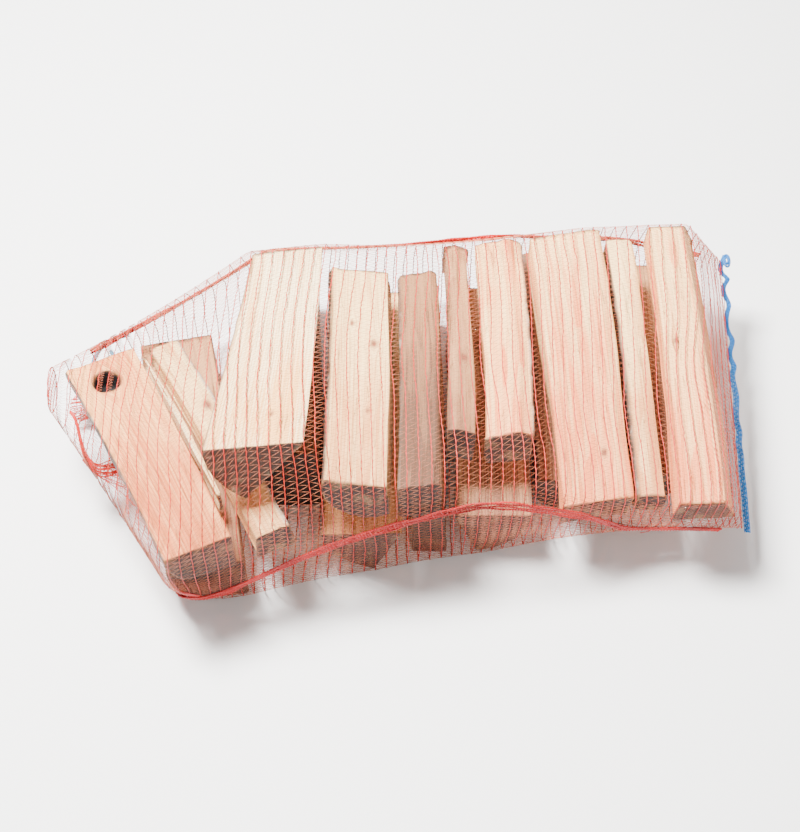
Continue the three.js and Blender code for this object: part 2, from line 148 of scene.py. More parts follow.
# Painted shade: the knot hole's near-black colour stands for the shade deep inside the hole
HOLE_SHADE_COLOUR = (14, 8, 5)
BIRCH_BARK = dict(pale=(158, 144, 128), grey=(84, 70, 60), dash=(40, 34, 32), peel=(146, 96, 64))
BROWN_BARK = dict(pale=(104, 84, 68), dark=(62, 46, 36), lichen=(150, 142, 126))

# The growth rings and the relief of the wood
RINGS_PER_METRE = 330.0
RING_DRIFT = 0.010
GRAIN_SHIFT = 1.7  # how far along the grain, in metres, one log's pattern is from the next
WOOD_BUMP = 0.0009
RELIEF_LIMITS = (-0.2, 7.0)
TRUNK_SIDES = 96
VOXEL_SIZE = 2.6

# Small knots in the upper split faces, as (across from the pith, along from the far end, radius)
KNOTS = {
    "half_log": ((6, 96, 3.2), (-14, 70, 2.2), (2, 178, 1.8)),
    "wide_log": ((8, 226, 2.6),),
    "right_log": ((-10, 120, 2.4),),
    "pale_log": ((4, 88, 4.0),),
    "tan_log": ((3, 150, 3.0),),
    "bright_log": ((-30, 212, 2.0),),
}

# The net: chains run round the bag, and a thin zigzag weft joins each to the next
OPEN_END_X = -318
OPEN_END_CENTRE = (-26.0, 98.0)
OPEN_END_RADIUS = 20
SEWN_END_X = 316
SEWN_END = ((-142.0, 46.0), (128.0, 92.0))
SURFACE_RINGS = 160
RING_DIRECTIONS = 72
RING_ANGLES = 720
RING_STITCHES = 300
CHAIN_PITCH = 9.6
SEAM_CROWDING = 4.4  # how much closer the chains are at the sewn end
CHAIN_RADIUS = 0.54
WEFT_RADIUS = 0.19
CHAIN_FLOOR_GAP = 0.7
WEFT_FLOOR_GAP = 0.5
WEFT_SPACING = 2.9  # the least that the stitches of a weft are apart, on average
NET_OFFSET = 1.1
NET_SLACK = 0.0006
RING_MIDDLE = (-10.0, 70.0)
TIP_CHAINS = (-15.0, -5.5, 4.0, 13.5)  # heights of the chains across the bag's tip
TIP_POINTS = 24

# The doubled edges of the net, as (place along X, height above the floor)
FRONT_SELVEDGE = (
    (-290, 70), (-205, 20), (-95, 72), (0, 106), (80, 122), (165, 92), (215, 56), (300, 46),
)
BACK_SELVEDGE = ((-290, 96), (-160, 100), (0, 112), (150, 104), (300, 90))
SELVEDGE_STEP = 1.6
SELVEDGE_HALF_WIDTH = 4.6
SELVEDGE_RAILS = (-1, -0.35, 0.4, 1)
RUNG_PITCH = 4.4
RUNG_POINTS = 6
LOOSE_END_POINTS = 12
LOOSE_ENDS = {"selvedge_front": ((-126, 15, 7), (-119, 11, -6), (-98, 9, 4), (228, 12, 5))}

# The folds along the front of the open end
FOLD_START = -306
FOLD_END = -176
FOLD_STRANDS = 13
FOLD_POINTS = 70

# The gathered neck, its tie and its drawstring
NECK_ROOT = np.array((-262.0, 0.0, 44.0))
NECK_LIP = np.array((-310.0, 5.0, 16.0))
NECK_TIE_SHARE = 0.65
NECK_TIE_RADIUS = 9
NECK_STRANDS = 44
TAPE_RADIUS = 1.8
TURN_TAPE_RADIUS = 1.05
KNOT_TAPE_RADIUS = 1.4
TAIL_ROUTES = {
    "drawstring_tail_long": (
        (-295, 25.6, 24), (-297, 32, 15), (-300, 42, 6), (-303, 56, 2.3), (-304, 72, 2.3),
        (-298, 88, 2.3), (-286, 98, 2.3), (-272, 104, 2.3),
    ),
    "drawstring_tail_short": (
        (-289.5, 25.2, 22), (-286, 32, 13), (-283, 41, 5), (-280, 54, 2.3), (-281, 70, 2.3),
        (-288, 83, 2.3),
    ),
}

# The overlock seam along the sewn end
SEAM_X = 320.6
SEAM_NEAR = (-147.0, 46.0)
SEAM_FAR = (133.0, 92.0)
SEAM_WAVES = 9
SEAM_SWAY = 2.9
SEAM_LIFT = 2.8
SEAM_STITCHES = 118
SEAM_CORDS = ((-2.3, 0.55), (-0.8, 0.75), (0.9, 0.75), (2.4, 0.6))  # offset and radius
SEAM_LOOP_POINTS = 10
LOBE_POINTS = 28

# Thread and tape colours as (light, dark), in sRGB
RED_CHAIN = ((212, 52, 34), (170, 20, 12))
# The selvedge red is deeper than the chains': the thread's own red with painted shade for the shade
# among the bunched threads of selvedges, folds and neck
RED_SELVEDGE_WITH_PAINTED_SHADE = ((206, 20, 14), (142, 6, 6))
PINK_WEFT = ((238, 152, 112), (206, 90, 60))
TEAL_TAPE = ((10, 136, 160), (4, 84, 106))
BLUE_THREAD = ((18, 116, 186), (4, 70, 128))


def camera_and_light():
    """The photograph's viewpoint, with soft light from above and a pale floor."""
    camera = bpy.data.objects.new("camera", bpy.data.cameras.new("camera"))
    bpy.context.collection.objects.link(camera)
    tilt = math.radians(VIEW_ELEVATION)
    away = Vector((0, -math.cos(tilt), math.sin(tilt)))
    camera.location = Vector(VIEW_TARGET) + away * VIEW_DISTANCE
    camera.rotation_euler = (math.pi / 2 - tilt, 0, 0)
    camera.data.lens = VIEW_LENS
    bpy.context.scene.camera = camera

    world = bpy.data.worlds.new("studio")
    world.use_nodes = True
    sky = world.node_tree.nodes["Background"]
    sky.inputs["Color"].default_value = (1, 1, 1, 1)
    sky.inputs["Strength"].default_value = SKY_STRENGTH
    bpy.context.scene.world = world
    for name, place, size, power in LIGHTS:
        light = bpy.data.lights.new(name, "AREA")
        light.size = size
        light.energy = power
        lamp = bpy.data.objects.new(name, light)
        lamp.location = place
        aim = Vector(LIGHT_TARGET) - Vector(place)
        lamp.rotation_euler = aim.to_track_quat("-Z", "Y").to_euler()
        bpy.context.collection.objects.link(lamp)

    bpy.ops.mesh.primitive_plane_add(size=8)
    floor = bpy.context.object
    floor.name = "floor"
    finish = Shader("floor")
    finish.feed(finish.surface, "Base Color", FLOOR_COLOUR)
    finish.feed(finish.surface, "Roughness", 0.8)
    floor.data.materials.append(finish.material)


def linear(colour):
    """A colour in sRGB of 0 to 255 as a linear one with alpha."""
    share = np.array(colour) / 255
    value = np.where(share <= 0.04045, share / 12.92, ((share + 0.055) / 1.055) ** 2.4)
    return (*value.tolist(), 1.0)


class Shader:
    """A material's node tree, with short ways to add its nodes."""

    def __init__(self, name):
        self.material = bpy.data.materials.new(name)
        self.material.use_nodes = True
        self.tree = self.material.node_tree
        self.surface = self.tree.nodes["Principled BSDF"]

    def node(self, kind, settings=None, sockets=None, **inputs):
        """A node of one kind, fed by the numbers or the names of its sockets."""
        made = self.tree.nodes.new("ShaderNode" + kind)
        for key, value in (settings or {}).items():
            setattr(made, key, value)
        for socket, value in {**(sockets or {}), **inputs}.items():
            self.feed(made, socket, value)
        return made

    def feed(self, node, socket, value):
        if isinstance(value, bpy.types.NodeSocket):
            self.tree.links.new(value, node.inputs[socket])
        else:
            node.inputs[socket].default_value = value

    def math(self, operation, *values):
        return self.node("Math", {"operation": operation}, dict(enumerate(values))).outputs[0]

    def vector(self, operation, *values):
        return self.node("VectorMath", {"operation": operation}, dict(enumerate(values))).outputs

    def noise(self, vector, scale, detail=4.0, roughness=0.55):
        place = self.vector("MULTIPLY", vector, scale)[0]
        made = self.node("TexNoise", Vector=place, Scale=1.0, Detail=detail, Roughness=roughness)
        return made.outputs["Fac"]

    def weighted(self, base, *terms):
        """A value with others added to it, each given with its weight."""
        for value, weight in terms:
            base = self.math("MULTIPLY_ADD", value, weight, base)
        return base

    def between(self, value, low, high, first=0.0, last=1.0):
        settings = {"interpolation_type": "SMOOTHSTEP"}
        sockets = dict(enumerate((value, low, high, first, last)))
        return self.node("MapRange", settings, sockets).outputs[0]

    def mix(self, share, first, second):
        sockets = {0: share, 6: first, 7: second}
        return self.node("Mix", {"data_type": "RGBA"}, sockets).outputs[2]

    def mix_heights(self, share, first, second):
        sockets = {0: share, 2: first, 3: second}
        return self.node("Mix", {"data_type": "FLOAT"}, sockets).outputs[0]

    def bump(self, height, distance, strength):
        made = self.node("Bump", Height=height, Distance=distance, Strength=strength)
        self.feed(self.surface, "Normal", made.outputs[0])

    def attribute(self, name, output="Fac"):
        return self.node("Attribute", {"attribute_name": name}).outputs[output]


def growth_rings(shader, wood):
    """The distance from the pith, and the dark late wood of each growth ring."""
    flat = shader.vector("MULTIPLY", wood, (1.0, 1.0, 0.0))[0]
    from_pith = shader.vector("LENGTH", flat)["Value"]
    drift = shader.noise(wood, (28.0, 28.0, 5.0), 2.0)
    ring = shader.math("MULTIPLY_ADD", drift, RING_DRIFT, from_pith)
    turn = shader.math("FRACT", shader.math("MULTIPLY", ring, RINGS_PER_METRE))
    darker = shader.between(turn, 0.45, 0.95)
    ended = shader.between(turn, 1.0, 0.96)
    return from_pith, shader.math("MULTIPLY", darker, ended)


def split_face(shader, wood, along, late_wood, face, streak):
    """The colour, relief and fibres of a torn face: bands, patches, fine cracks and specks. It
    is warmer towards the near end."""
    fibre = shader.noise(wood, (950.0, 950.0, 22.0), 5.0, 0.6)
    band = shader.noise(wood, (130.0, 130.0, 4.0), 3.0, 0.5)
    patch = shader.noise(wood, (22.0, 22.0, 7.0), 3.0, 0.5)
    shade = shader.weighted(
        shader.between(fibre, 0.4, 0.7, 0.0, 0.42),
        (shader.between(band, 0.4, 0.66), 0.42),
        (late_wood, 0.42),
        (shader.between(patch, 0.46, 0.66), 0.44),
        (shader.between(along, 0.03, 0.26, -0.28, 0.34), 1.0),
    )
    colour = shader.mix(shader.math("MINIMUM", shade, 1.0), face, streak)
    check = shader.noise(wood, (210.0, 210.0, 7.0), 2.0, 0.4)
    from_check = shader.math("ABSOLUTE", shader.math("SUBTRACT", check, 0.57))
    check_line = shader.between(from_check, 0.0, 0.006, 0.55, 0.0)
    colour = shader.mix(check_line, colour, linear(FACE_CRACK_COLOUR))
    speck = shader.noise(wood, (420.0, 420.0, 90.0), 2.0)
    colour = shader.mix(shader.between(speck, 0.72, 0.8, 0.0, 0.5), colour, linear(SPECK_COLOUR))
    colour = shader.mix(shader.attribute("knot"), colour, linear(KNOT_COLOUR))
    relief = shader.weighted(0.0, (fibre, 1.2), (late_wood, 0.4), (check_line, -1.4))
    return colour, relief, fibre


def sawn_end(shader, wood, from_pith, late_wood, end, face, seed):
    """The colour and relief of a sawn end: saw marks, pores, stains and radial cracks, on an end
    colour that holds painted shade.
    """
    saw = shader.noise(wood, (110.0, 900.0, 0.0), 3.0, 0.5)
    pores = shader.noise(wood, (1400.0, 1400.0, 0.0), 2.0)
    shade = shader.weighted(
        shader.between(saw, 0.35, 0.7, 0.0, 0.4),
        (late_wood, 0.35),
        (shader.between(pores, 0.4, 0.7), 0.3),
    )
    end_dark = tuple(0.55 * part for part in end[:3]) + (1.0,)
    colour = shader.mix(shader.math("MINIMUM", shade, 1.0), end, end_dark)
    stain = shader.noise(wood, (45.0, 45.0, 0.0), 3.0)
    colour = shader.mix(shader.between(stain, 0.5, 0.75, 0.0, 0.22), colour, face)
    apart = shader.node("SeparateXYZ", Vector=wood)
    around = shader.math("ARCTAN2", apart.outputs["Y"], apart.outputs["X"])
    spoke = shader.node(
        "CombineXYZ",
        X=shader.math("MULTIPLY", around, 3.2),
        Y=shader.math("MULTIPLY", from_pith, 14.0),
        Z=seed * 2.3,
    )
    spokes = shader.node("TexNoise", Vector=spoke.outputs[0], Scale=1.0, Detail=1.0)
    from_crack = shader.math("ABSOLUTE", shader.math("SUBTRACT", spokes.outputs["Fac"], 0.5))
    crack = shader.between(from_crack, 0.0, 0.012, 1.0, 0.0)
    colour = shader.mix(shader.math("MULTIPLY", crack, 0.55), colour, linear(END_CRACK_COLOUR))
    return colour, shader.weighted(0.0, (crack, -1.0), (saw, 0.8))


def bark_skin(shader, wood, birch):
    """The colour and relief of bark: pale and peeling on birch, brown with lichen on the rest."""
    hues = {part: linear(hue) for part, hue in (BIRCH_BARK if birch else BROWN_BARK).items()}
    if birch:
        plates = shader.noise(wood, (40.0, 40.0, 60.0), 4.0, 0.6)
        dashes = shader.noise(wood, (55.0, 55.0, 620.0), 3.0, 0.6)
        peel = shader.noise(wood, (90.0, 90.0, 90.0), 4.0, 0.6)
        skin = shader.mix(shader.between(plates, 0.44, 0.56), hues["pale"], hues["grey"])
        skin = shader.mix(shader.between(dashes, 0.6, 0.68), skin, hues["dash"])
        skin = shader.mix(shader.between(peel, 0.6, 0.66), skin, hues["peel"])
    else:
        plates = shader.noise(wood, (120.0, 120.0, 60.0), 5.0, 0.65)
        dashes = plates
        lichen = shader.noise(wood, (50.0, 50.0, 50.0), 3.0)
        skin = shader.mix(shader.between(plates, 0.4, 0.62), hues["pale"], hues["dark"])
        skin = shader.mix(shader.between(lichen, 0.6, 0.68, 0.0, 0.7), skin, hues["lichen"])
    return skin, shader.weighted(0.0, (plates, 1.2), (dashes, 1.2))


def wood_finish(name, colours, seed, birch):
    """Split wood with its grain, sawn ends and bark. The seed shifts the grain of each log."""
    face, streak, end = (linear(colour) for colour in colours)
    shader = Shader(name)
    shift = seed * GRAIN_SHIFT
    wood = shader.vector("ADD", shader.attribute("grain", "Vector"), (0.0, 0.0, shift))[0]
    apart = shader.node("SeparateXYZ", Vector=wood)
    along = shader.math("SUBTRACT", apart.outputs["Z"], shift)
    end_mask = shader.attribute("end")
    bark_mask = shader.attribute("bark")
    from_pith, late_wood = growth_rings(shader, wood)
    split, split_relief, fibre = split_face(shader, wood, along, late_wood, face, streak)
    sawn, sawn_relief = sawn_end(shader, wood, from_pith, late_wood, end, face, seed)
    skin, skin_relief = bark_skin(shader, wood, birch)
    colour = shader.mix(end_mask, split, sawn)
    colour = shader.mix(bark_mask, colour, skin)
    # Painted shade: the knot hole is coloured near black where shade falls in it
    colour = shader.mix(shader.attribute("hole_shade"), colour, linear(HOLE_SHADE_COLOUR))
    shader.feed(shader.surface, "Base Color", colour)
    shader.feed(shader.surface, "Roughness", shader.between(fibre, 0.3, 0.7, 0.62, 0.82))
    relief = shader.mix_heights(end_mask, split_relief, sawn_relief)
    relief = shader.mix_heights(bark_mask, relief, skin_relief)
    shader.bump(relief, WOOD_BUMP, 0.9)
    return shader.material


def thread_finish(name, colours, cover=1.0, roughness=0.5, scale=900.0):
    """Plastic thread or tape with fine light and dark strands."""
    light, dark = (linear(colour) for colour in colours)
    shader = Shader(name)
    place = shader.node("TexCoord").outputs["Object"]
    strand = shader.noise(place, (scale, scale, scale), 3.0)
    wide = shader.noise(place, (30.0, 30.0, 30.0), 2.0)
    share = shader.between(wide, 0.4, 0.65, 0.0, 0.4)
    share = shader.math("MULTIPLY_ADD", shader.between(strand, 0.35, 0.7), 0.6, share)
    gloss = shader.between(strand, 0.3, 0.7, roughness - 0.1, roughness + 0.1)
    shader.feed(shader.surface, "Base Color", shader.mix(share, light, dark))
    shader.feed(shader.surface, "Roughness", gloss)
    shader.feed(shader.surface, "Alpha", cover)
    shader.bump(strand, 0.0003, 0.6)
    return shader.material


def lattice_noise(points, seed=0.0):
    """Smooth noise between -1 and 1 at an array of points."""
    cell = np.floor(points)
    share = points - cell
    share = share * share * (3 - 2 * share)
    total = np.zeros(len(points))
    for corner in np.ndindex(2, 2, 2):
        place = cell + corner
        mixed = np.sin(place @ np.array((127.1, 311.7, 74.7)) + seed * 17.3) * 43758.5453
        value = (mixed - np.floor(mixed)) * 2 - 1
        weight = np.prod(np.where(np.array(corner) == 1, share, 1 - share), axis=1)
        total += value * weight
    return total


def put_mesh(name, points, faces, material):
    """A new object from points in millimetres and faces of equal size."""
    mesh = bpy.data.meshes.new(name)
    faces = np.asarray(faces, dtype=np.int32)
    sides = faces.shape[1]
    mesh.vertices.add(len(points))
    mesh.vertices.foreach_set("co", (np.asarray(points) * MM).astype(np.float32).ravel())
    mesh.loops.add(faces.size)
    mesh.loops.foreach_set("vertex_index", faces.ravel())
    mesh.polygons.add(len(faces))
    mesh.polygons.foreach_set("loop_start", np.arange(0, faces.size, sides, dtype=np.int32))
    mesh.update(calc_edges=True)
    mesh.validate()
    mesh.materials.append(material)
    mesh.shade_smooth()
    made = bpy.data.objects.new(name, mesh)
    bpy.context.collection.objects.link(made)
    return made


def joined(name, parts, material):
    """One object from several sets of points and quads."""
    starts = np.cumsum([0] + [len(points) for points, _ in parts])
    points = np.concatenate([points for points, _ in parts])
    faces = np.concatenate([quads + start for (_, quads), start in zip(parts, starts)])
    return put_mesh(name, points, faces, material)


def rides(piece, node):
    """Puts a piece on the one body that there is, and hides the solid that it stands in for."""
    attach(piece, "root")
    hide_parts(node)


def direction(degrees):
    """A direction across a log as a vector of length 1."""
    return np.array((math.cos(math.radians(degrees)), math.sin(math.radians(degrees))))


def unit(vectors):
    """Vectors brought to a length of 1."""
    return vectors / (np.linalg.norm(vectors, axis=-1, keepdims=True) + 1e-9)


def distances(line):
    """How far along a line each of its points is."""
    steps = np.linalg.norm(np.diff(line, axis=0), axis=1)
    return np.concatenate([[0], np.cumsum(steps)])


def at_distances(wanted, travelled, values):
    """Rows of values at some distances along a line."""
    return np.stack([np.interp(wanted, travelled, column) for column in values.T], axis=1)


def smooth(values, rounds):
    """Evens out the points of a line in place, all but its two ends."""
    for _ in range(rounds):
        values[1:-1] = (values[:-2] + 2 * values[1:-1] + values[2:]) / 4


def tubes(lines, normals, radius, sides, closed, flat=1.0):
    """Points and quads of tubes along several lines of equal point count. flat is how thick a
    tube is along its normals, as a share of its width."""
    count, length, _ = lines.shape
    if closed:
        tangent = np.roll(lines, -1, axis=1) - np.roll(lines, 1, axis=1)
    else:
        tangent = np.gradient(lines, axis=1)
    tangent = unit(tangent)
    out = unit(normals - tangent * np.sum(normals * tangent, axis=2, keepdims=True))
    side = np.cross(tangent, out)
    radius = np.broadcast_to(radius, (count, length))[..., None]
    angles = 2 * np.pi * np.arange(sides) / sides
    rings = [lines + radius * (flat * out * np.cos(a) + side * np.sin(a)) for a in angles]
    points = np.stack(rings, axis=2).reshape(-1, 3)
    index = np.arange(count * length * sides).reshape(count, length, sides)
    ahead = np.roll(index, -1, axis=1) if closed else index[:, 1:]
    here = index if closed else index[:, :-1]
    quads = np.stack([here, np.roll(here, -1, axis=2), np.roll(ahead, -1, axis=2), ahead], axis=-1)
    quads = quads.reshape(-1, 4)
    if closed:
        return points, quads
    caps = []
    for end, order in ((index[:, 0], (0, 3, 2, 1)), (index[:, -1], (0, 1, 2, 3))):
        for start in range(0, sides - 2, 2):
            picks = [0, start + 1, start + 2, min(start + 3, sides - 1)]
            caps.append(end[:, [picks[i] for i in order]])
    return points, np.concatenate([quads, *caps])


def cut_polygon(points, facing, distance):
    """The part of a polygon on the inner side of a straight split."""
    normal = direction(facing)
    kept = []
    for i, point in enumerate(points):
        after = points[(i + 1) % len(points)]
        here = point @ normal - distance
        there = after @ normal - distance
        if here <= 0:
            kept.append(point)
        if here * there < 0:
            kept.append(point + (after - point) * here / (here - there))
    return kept


def log_form(points, log, middle):
    """Takes points of a straight log, with Z along it from 0, to their place in the bag."""
    length = log["length"]
    along = points[:, 2] / length
    width = 1 - log.get("taper", 0) * (1 - along)
    bow = BOW_SHARE * length * np.sin(np.pi * np.clip(along, 0, 1))
    end_shift = log.get("skew", 0) * points[:, 0]
    formed = np.stack(
        [points[:, 0] * width + bow, points[:, 1] * width + bow, points[:, 2] + end_shift], axis=1
    )
    if middle is None:
        middle = (formed.min(axis=0) + formed.max(axis=0)) / 2
    formed = formed - middle
    tilt = math.pi / 2 - math.radians(log.get("lift", 0))
    turn = math.radians(log.get("turn", 0))
    about_x = np.array(
        ((1, 0, 0), (0, math.cos(tilt), -math.sin(tilt)), (0, math.sin(tilt), math.cos(tilt)))
    )
    about_z = np.array(
        ((math.cos(turn), -math.sin(turn), 0), (math.sin(turn), math.cos(turn), 0), (0, 0, 1))
    )
    return formed @ (about_z @ about_x).T, middle


def log_outline(name, arc_points=28, steps=4):
    """The corners of a log along its length, in the bag, with what places other points there."""
    log = LOGS[name]
    angles = 2 * np.pi * np.arange(arc_points) / arc_points
    section = [log["radius"] * np.array((math.cos(a), math.sin(a))) for a in angles]
    for facing, distance in log["splits"]:
        section = cut_polygon(section, facing, distance)
    section = np.array(section)
    levels = np.linspace(0, log["length"], steps + 1)
    corners = np.array([[*corner, level] for level in levels for corner in section])
    placed, middle = log_form(corners, log, None)
    low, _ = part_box(name)
    shift = np.array(low) / MM - placed.min(axis=0)
    return (placed + shift).reshape(steps + 1, len(section), 3), middle, shift


def build_log(name, number):
    """A trunk cut along its split faces and roughened along the grain."""
    log = LOGS[name]
    length = log["length"]
    bpy.ops.object.select_all(action="DESELECT")
    bpy.ops.mesh.primitive_cylinder_add(
        vertices=TRUNK_SIDES,
        radius=log["radius"] * MM,
        depth=length * MM,
        end_fill_type="NGON",
        location=(0, 0, length * MM / 2),
    )
    piece = bpy.context.object
    piece.name = name + "_wood"
    bpy.ops.object.transform_apply(location=True)
    for facing, distance in log["splits"]:
        normal = (*direction(facing), 0)
        bpy.ops.object.mode_set(mode="EDIT")
        bpy.ops.mesh.select_all(action="SELECT")
        bpy.ops.mesh.bisect(
            plane_co=[part * distance * MM for part in normal],
            plane_no=normal,
            use_fill=True,
            clear_outer=True,
        )
        bpy.ops.object.mode_set(mode="OBJECT")
    if name == KNOT_HOLE["log"]:
        cut_knot_hole(piece)
    remesh = piece.modifiers.new("even grid", "REMESH")
    remesh.mode = "VOXEL"
    remesh.voxel_size = VOXEL_SIZE * MM
    bpy.context.view_layer.objects.active = piece
    bpy.ops.object.modifier_apply(modifier=remesh.name)
    roughen_log(piece, name, number)
    piece.data.materials.clear()
    piece.data.materials.append(
        wood_finish(name.replace("_", " "), log["wood"], number, log.get("birch", False))
    )
    piece.data.shade_smooth()
    rides(piece, name)


def cut_knot_hole(piece):
    """Cuts a hole that widens upwards into the top face of the straight log."""
    top = LOGS[KNOT_HOLE["log"]]["splits"][0][1]
    depth = KNOT_HOLE["depth"]
    bpy.ops.mesh.primitive_cone_add(
        vertices=48,
        radius1=KNOT_HOLE["bottom_radius"] * MM,
        radius2=(2 * KNOT_HOLE["radius"] - KNOT_HOLE["bottom_radius"]) * MM,
        depth=2 * depth * MM,
        location=(KNOT_HOLE["x"] * MM, top * MM, KNOT_HOLE["from_far_end"] * MM),
        rotation=(-math.pi / 2, 0, 0),
    )
    cutter = bpy.context.object
    hole = piece.modifiers.new("knot hole", "BOOLEAN")
    hole.object = cutter
    hole.operation = "DIFFERENCE"
    bpy.context.view_layer.objects.active = piece
    bpy.ops.object.modifier_apply(modifier=hole.name)
    bpy.data.objects.remove(cutter)


def vertex_rows(mesh, key):
    """The places (co) or the normals of a mesh's vertices."""
    rows = np.empty(len(mesh.vertices) * 3, dtype=np.float32)
    mesh.vertices.foreach_get(key, rows)
    return rows.reshape(-1, 3).astype(float)


def set_attribute(mesh, name, kind, values):
    """Gives each vertex a value or a vector that the wood's finish reads."""
    layer = mesh.attributes.new(name, kind, "POINT")
    key = "vector" if kind == "FLOAT_VECTOR" else "value"
    layer.data.foreach_set(key, np.asarray(values, dtype=np.float32).ravel())


def roughen_log(piece, name, number):
    """Gives a straight log its torn fibres and waves, notes where its bark and ends are, and
    puts it in the bag."""
    log = LOGS[name]
    mesh = piece.data
    places = vertex_rows(mesh, "co") / MM
    normals = vertex_rows(mesh, "normal")
    x, y, z = places.T
    from_pith = np.hypot(x, y)
    on_end = np.clip((np.abs(normals[:, 2]) - 0.6) / 0.25, 0, 1)
    on_bark = np.clip((from_pith / log["radius"] - 0.97) / 0.02, 0, 1) * (1 - on_end)
    in_hole = np.zeros(len(places))
    grain = places.copy()
    if name == KNOT_HOLE["log"]:
        top = log["splits"][0][1]
        away = np.hypot(x - KNOT_HOLE["x"], z - KNOT_HOLE["from_far_end"])
        # in_hole is painted shade: full inside the knot hole below the top face, and a weaker ring
        # of it round the hole's mouth; it also flattens the relief there
        in_hole = np.maximum(np.clip((top - y) / 5, 0, 1), np.clip(1.3 - away / 12, 0, 1) * 0.4)
        in_hole *= away < KNOT_HOLE["radius"] + 2.5
        grain[:, 0] -= 14 * np.exp(-((away / 20) ** 2)) * np.sign(x - KNOT_HOLE["x"])
    if "bark_face" in log:
        way = direction(log["bark_face"])
        short_of = dict(log["splits"])[log["bark_face"]] - places[:, :2] @ way
        faces_way = normals[:, :2] @ way
        on_face = np.clip((faces_way - 0.5) / 0.3, 0, 1) * (short_of < 2)
        on_bark = np.maximum(on_bark, on_face * (1 - on_end))
    knot = np.zeros(len(places))
    for across, along, radius in KNOTS.get(name, ()):
        away = np.hypot(x - across, (z - along) * 0.7)
        facing_up = normals[:, 1] > 0.5
        knot = np.maximum(knot, np.clip(1.5 - away / radius, 0, 1) * facing_up)
        grain[:, 0] -= radius * 1.6 * np.exp(-((away / (radius * 2.6)) ** 2)) * np.sign(x - across)
    sweep = lattice_noise(places / (48, 48, 130) + number * 2.3, number + 5)
    wave = lattice_noise(places / (26, 26, 80) + number * 3.1, number)
    tear = lattice_noise(places / (6, 6, 75) + number * 5.3, number + 1)
    fibre = lattice_noise(places / (2.8, 2.8, 34) + number * 7.7, number + 2)
    split_depth = 2.7 + 2.5 * sweep + 1.8 * wave + 1.0 * tear + 0.45 * fibre
    bark_depth = 0.7 + 0.7 * lattice_noise(places / (9, 9, 12) + number, number + 3)
    end_depth = 0.35 + 0.3 * lattice_noise(places / (14, 14, 14) + number, number + 4)
    depth = split_depth * (1 - on_bark) + bark_depth * on_bark
    depth = depth * (1 - on_end) + end_depth * on_end
    depth *= 1 - in_hole
    moved = places - normals * np.clip(depth, *RELIEF_LIMITS)[:, None]
    _, middle, shift = log_outline(name)
    placed, _ = log_form(moved, log, middle)
    mesh.vertices.foreach_set("co", ((placed + shift) * MM).astype(np.float32).ravel())
    mesh.update()
    set_attribute(mesh, "grain", "FLOAT_VECTOR", grain * MM)
    for mask, values in (("end", on_end), ("bark", on_bark), ("hole_shade", in_hole), ("knot", knot)):
        set_attribute(mesh, mask, "FLOAT", values)


def pile_cloud():
    """Points all along the edges of every log."""
    cloud = []
    for name in LOGS:
        levels, _, _ = log_outline(name)
        for lower, upper in zip(levels[:-1], levels[1:]):
            for share in np.linspace(0, 1, 24, endpoint=False):
                cloud.append(lower + (upper - lower) * share)
        for end in (levels[0], levels[-1]):
            for share in np.linspace(0, 1, 12, endpoint=False):
                cloud.append(end + (np.roll(end, -1, axis=0) - end) * share)
    return np.concatenate(cloud)


def taut_profile(x, reach, slack):
    """The height of a string pulled tight over a row of points, sagging a little between."""
    level = reach - slack * x * x
    hull = [0]
    for i in range(1, len(x)):
        while len(hull) > 1:
            a, b = hull[-2:]
            if (level[b] - level[a]) * (x[i] - x[a]) > (level[i] - level[a]) * (x[b] - x[a]):
                break
            hull.pop()
        hull.append(i)
    return np.interp(x, x[hull], level[hull]) + slack * x * x


